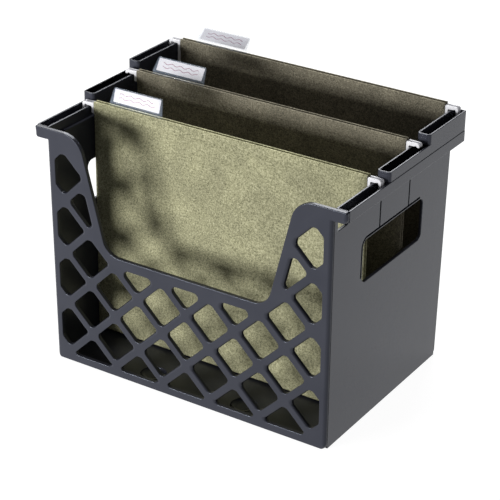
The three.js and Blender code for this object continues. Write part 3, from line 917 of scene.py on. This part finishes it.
# ---- materials ----
class Surface:
    """A node material with short ways to add and join nodes."""

    def __init__(self, name):
        self.material = bpy.data.materials.new(name)
        self.material.use_nodes = True
        self.nodes = self.material.node_tree.nodes
        self.links = self.material.node_tree.links
        self.shader = self.nodes["Principled BSDF"]
        coordinates = self.nodes.new("ShaderNodeTexCoord").outputs
        self.place = coordinates["Object"]
        self.normal = coordinates["Normal"]

    def set(self, **values):
        for socket, value in values.items():
            self.shader.inputs[socket.replace("_", " ")].default_value = value

    def join(self, output, socket):
        self.links.new(output, self.shader.inputs[socket])

    def moved(self, scale, offset=(0, 0, 0), turn=(0, 0, 0)):
        """Texture coordinates stretched, shifted and turned."""
        node = self.nodes.new("ShaderNodeMapping")
        node.inputs["Scale"].default_value = scale
        node.inputs["Location"].default_value = offset
        node.inputs["Rotation"].default_value = turn
        self.links.new(self.place, node.inputs["Vector"])
        return node.outputs["Vector"]

    def up(self):
        """How far the surface faces up in the object's own space."""
        split = self.nodes.new("ShaderNodeSeparateXYZ")
        self.links.new(self.normal, split.inputs["Vector"])
        return split.outputs["Z"]

    def noise(self, scale, detail=4.0, roughness=0.55, distortion=0.0, place=None):
        node = self.nodes.new("ShaderNodeTexNoise")
        node.inputs["Scale"].default_value = scale
        node.inputs["Detail"].default_value = detail
        node.inputs["Roughness"].default_value = roughness
        node.inputs["Distortion"].default_value = distortion
        self.links.new(self.place if place is None else place, node.inputs["Vector"])
        return node.outputs["Fac"]

    def ramp(self, value, stops):
        """Colour ramp; stops are (position, colour)."""
        node = self.nodes.new("ShaderNodeValToRGB")
        elements = node.color_ramp.elements
        while len(elements) < len(stops):
            elements.new(0.5)
        for element, (position, colour) in zip(elements, stops):
            element.position = position
            element.color = (*colour, 1.0)
        self.links.new(value, node.inputs["Fac"])
        return node.outputs["Color"]

    def span(self, value, low, high, start=0.0, end=1.0):
        """Maps a value from start..end to low..high."""
        node = self.nodes.new("ShaderNodeMapRange")
        node.inputs["From Min"].default_value = start
        node.inputs["From Max"].default_value = end
        node.inputs["To Min"].default_value = low
        node.inputs["To Max"].default_value = high
        self.links.new(value, node.inputs["Value"])
        return node.outputs["Result"]

    def math(self, operation, first, second):
        node = self.nodes.new("ShaderNodeMath")
        node.operation = operation
        for socket, value in zip(node.inputs, (first, second)):
            if isinstance(value, float):
                socket.default_value = value
            else:
                self.links.new(value, socket)
        return node.outputs["Value"]

    def tinted(self, colour, value):
        """A colour times a value."""
        node = self.nodes.new("ShaderNodeVectorMath")
        node.operation = "SCALE"
        self.links.new(colour, node.inputs[0])
        self.links.new(value, node.inputs["Scale"])
        return node.outputs["Vector"]

    def bump(self, height, distance, strength):
        node = self.nodes.new("ShaderNodeBump")
        node.inputs["Distance"].default_value = distance
        node.inputs["Strength"].default_value = strength
        self.links.new(height, node.inputs["Height"])
        self.join(node.outputs["Normal"], "Normal")


def rack_plastic():
    """Satin black moulded plastic."""
    s = Surface("rack_plastic")
    cloud = s.noise(22.0, 3.0)
    s.join(s.ramp(cloud, [(0.3, (0.0290, 0.0305, 0.0405)), (0.7, (0.0355, 0.0370, 0.0480))]), "Base Color")
    s.join(s.span(s.noise(45.0, 4.0), 0.17, 0.25, 0.3, 0.7), "Roughness")
    grain = s.noise(1400.0, 3.0, 0.6)
    s.bump(grain, 0.00002, 0.25)
    s.set(IOR=1.37, Specular_Tint=(0.78, 0.84, 1.0, 1.0))
    return s.material


def pressboard(name, stops, offset):
    """Mottled pressboard: blotches, specks and short fibres, with painted light that makes the faces
    looking up lighter.
    """
    s = Surface(name)
    place = s.moved((1, 1, 1), offset)
    blotch = s.noise(640.0, 6.0, 0.72, 0.4, place)
    speck = s.noise(1500.0, 4.0, 0.65, 0.0, place)
    level = s.noise(300.0, 2.0, 0.5, 1.2, s.moved((1.0, 1.0, 3.2), offset, (0, 0.7, 0)))
    slope = s.noise(300.0, 2.0, 0.5, 1.2, s.moved((3.2, 1.0, 1.0), offset, (0, 0.5, 0)))
    fibres = s.math("MULTIPLY", s.math("ADD", level, slope), 0.5)
    mix = s.math("MULTIPLY", blotch, 0.42)
    mix = s.math("ADD", mix, s.math("MULTIPLY", speck, 0.36))
    mix = s.math("ADD", mix, s.math("MULTIPLY", fibres, 0.22))
    colour = s.ramp(mix, stops)
    cloud = s.span(s.noise(24.0, 4.0, 0.6, 0.6, place), 0.80, 1.20, 0.3, 0.7)
    # Painted light: faces that look up are made up to 1.9 times lighter, as if lit from above.
    painted_top_light = s.span(s.up(), 1.0, 1.9, 0.4, 1.0)
    s.join(s.tinted(colour, s.math("MULTIPLY", cloud, painted_top_light)), "Base Color")
    s.join(s.span(speck, 0.78, 0.95, 0.3, 0.7), "Roughness")
    s.bump(s.math("ADD", speck, fibres), 0.00008, 0.5)
    s.set(IOR=1.45)
    return s.material


def rod_steel():
    s = Surface("rod_steel")
    brushed = s.noise(400.0, 3.0, 0.5, 0.0, s.moved((0.05, 1, 1)))
    s.join(s.ramp(brushed, [(0.3, (0.42, 0.42, 0.43)), (0.7, (0.60, 0.60, 0.61))]), "Base Color")
    s.join(s.span(brushed, 0.28, 0.42, 0.3, 0.7), "Roughness")
    s.bump(brushed, 0.00002, 0.3)
    s.set(Metallic=1.0)
    return s.material


def hook_plastic():
    s = Surface("hook_plastic")
    cloud = s.noise(160.0, 3.0)
    s.join(s.ramp(cloud, [(0.3, (0.80, 0.80, 0.84)), (0.7, (0.88, 0.88, 0.91))]), "Base Color")
    s.join(s.span(cloud, 0.28, 0.38, 0.3, 0.7), "Roughness")
    s.bump(s.noise(900.0, 3.0), 0.00002, 0.3)
    s.set(IOR=1.5)
    return s.material


def tab_plastic():
    """Clear film that shows more at its edges and where it is seen edge on."""
    s = Surface("tab_plastic")
    haze = s.noise(220.0, 3.0)
    s.join(s.ramp(haze, [(0.3, (0.40, 0.48, 0.60)), (0.7, (0.52, 0.60, 0.72))]), "Base Color")
    s.join(s.span(haze, 0.06, 0.14, 0.3, 0.7), "Roughness")
    weight = s.nodes.new("ShaderNodeLayerWeight")
    weight.inputs["Blend"].default_value = 0.35
    s.join(s.span(weight.outputs["Facing"], 0.02, 0.50), "Alpha")
    s.bump(haze, 0.00003, 0.2)
    s.set(IOR=1.49)
    return s.material


def label_paper():
    s = Surface("label_paper")
    fibre = s.noise(800.0, 5.0, 0.65)
    s.join(s.ramp(fibre, [(0.3, (0.88, 0.85, 0.87)), (0.7, (0.93, 0.90, 0.92))]), "Base Color")
    s.join(s.span(fibre, 0.8, 0.95, 0.3, 0.7), "Roughness")
    s.bump(fibre, 0.00002, 0.4)
    return s.material


def label_ink():
    s = Surface("label_ink")
    flow = s.noise(500.0, 3.0)
    s.join(s.ramp(flow, [(0.3, (0.26, 0.05, 0.11)), (0.7, (0.44, 0.15, 0.24))]), "Base Color")
    s.join(s.span(flow, 0.55, 0.75, 0.3, 0.7), "Roughness")
    s.bump(flow, 0.00001, 0.3)
    return s.material


MATERIALS = {
    "rack_plastic": rack_plastic(),
    "pressboard_light": pressboard(
        "pressboard_light",
        [(0.42, (0.100, 0.098, 0.050)), (0.48, (0.255, 0.248, 0.144)),
         (0.53, (0.390, 0.378, 0.230)), (0.60, (0.56, 0.543, 0.36))],
        (0.0, 0.0, 0.0)),
    # Darker pressboard for the middle and rear files: part darker board, part painted shade.
    "pressboard_dark": pressboard(
        "pressboard_dark",
        [(0.42, (0.048, 0.042, 0.029)), (0.48, (0.120, 0.108, 0.076)),
         (0.53, (0.190, 0.172, 0.124)), (0.60, (0.30, 0.272, 0.20))],
        (0.31, 0.17, 0.53)),
    "rod_steel": rod_steel(),
    "hook_plastic": hook_plastic(),
    "tab_plastic": tab_plastic(),
    "label_paper": label_paper(),
    "label_ink": label_ink(),
}


def finish_piece(piece, slot, material=None):
    """Gives a piece one material: the one named by material, else the one named by its slot."""
    piece.data.materials.clear()
    piece.data.materials.append(MATERIALS[material or slot])
    return piece


# ---- the rack ----
RACK_PIECES = (
    (front_panel(), "front_panel"),
    (rear_panel(), "rear_panel"),
    (floor_panel(), "floor_panel"),
    (side_panel("rack_side_right", False), "side_panel_right"),
    (side_panel("rack_side_left", True), "side_panel_left"),
    (rim("rack_rim_right", False), "rim_channel_right"),
    (rim("rack_rim_left", True), "rim_channel_left"),
)
for rack_piece, node in RACK_PIECES:
    finish_piece(rack_piece, "rack_plastic")
    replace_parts(rack_piece, node)
    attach(rack_piece, "rack")

# ---- the files ----
for name in FILES:
    hanging = HangingFile(name)
    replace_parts(finish_piece(hanging.front_flap(), BOARD[name]), f"file_{name}_front_flap")
    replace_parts(finish_piece(hanging.rear_flap(), BOARD[name]), f"file_{name}_rear_flap")
    for place in ("front", "rear"):
        finish_piece(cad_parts[f"file_{name}_{place}_rod"], "rod_steel")
        for side in ("right", "left"):
            finish_piece(hanging.hook(place, side), "hook_plastic")
    finish_piece(hanging.tab(), "tab_plastic")
    finish_piece(hanging.label(), "label_paper")
    finish_piece(hanging.ink(), "label_paper", "label_ink")


# ---- camera, floor and light ----
def make_camera():
    azimuth = math.radians(CAMERA_AZIMUTH)
    elevation = math.radians(CAMERA_ELEVATION)
    back = Vector((
        math.sin(azimuth) * math.cos(elevation),
        -math.cos(azimuth) * math.cos(elevation),
        math.sin(elevation)))
    right = Vector((math.cos(azimuth), math.sin(azimuth), 0))
    up = back.cross(right)
    data = bpy.data.cameras.new("camera")
    data.lens = CAMERA_LENS
    data.sensor_width = CAMERA_SENSOR
    camera = bpy.data.objects.new("camera", data)
    bpy.context.scene.collection.objects.link(camera)
    turn = Matrix((right, up, back)).transposed().to_4x4()
    roll = Matrix.Rotation(math.radians(CAMERA_ROLL), 4, "Z")
    camera.matrix_world = Matrix.Translation(CAMERA_TARGET + back * CAMERA_DISTANCE) @ turn @ roll
    bpy.context.scene.camera = camera


def make_floor():
    """A plain white floor: it glows a little, so that its shadow stays faint."""
    mesh = bpy.data.meshes.new("floor")
    half = FLOOR_HALF
    corners = [(-half, -half, 0), (half, -half, 0), (half, half, 0), (-half, half, 0)]
    mesh.from_pydata(corners, [], [(0, 1, 2, 3)])
    floor = make_object("floor", mesh)
    s = Surface("floor")
    s.set(Base_Color=(FLOOR_GREY, FLOOR_GREY, FLOOR_GREY, 1.0), Roughness=0.9)
    s.set(Emission_Color=(1.0, 1.0, 1.0, 1.0), Emission_Strength=FLOOR_GLOW)
    s.set(Specular_IOR_Level=0.0)
    s.material.cycles.emission_sampling = "NONE"
    floor.data.materials.append(s.material)
    floor.visible_diffuse = False
    floor.visible_transmission = False
    floor.visible_shadow = False


def area_light(name, position, target, width, height, power):
    data = bpy.data.lights.new(name, "AREA")
    data.shape = "RECTANGLE"
    data.size = width
    data.size_y = height
    data.energy = power
    light = bpy.data.objects.new(name, data)
    bpy.context.scene.collection.objects.link(light)
    light.location = position
    light.rotation_mode = "QUATERNION"
    light.rotation_quaternion = (Vector(target) - Vector(position)).to_track_quat("-Z", "Y")
    return light


def make_world():
    """White to the camera, a plain soft grey to everything else."""
    world = bpy.data.worlds.new("studio")
    bpy.context.scene.world = world
    world.use_nodes = True
    nodes = world.node_tree.nodes
    links = world.node_tree.links
    rays = nodes.new("ShaderNodeLightPath")
    seen = nodes.new("ShaderNodeMix")
    seen.data_type = "FLOAT"
    seen.inputs["A"].default_value = SURROUNDINGS
    seen.inputs["B"].default_value = BACKDROP
    links.new(rays.outputs["Is Camera Ray"], seen.inputs["Factor"])
    links.new(seen.outputs["Result"], nodes["Background"].inputs["Strength"])
    nodes["Background"].inputs["Color"].default_value = (1, 1, 1, 1)


make_camera()
make_floor()
make_world()
for light in LIGHTS:
    area_light(*light)
bpy.context.scene.view_settings.view_transform = "Standard"
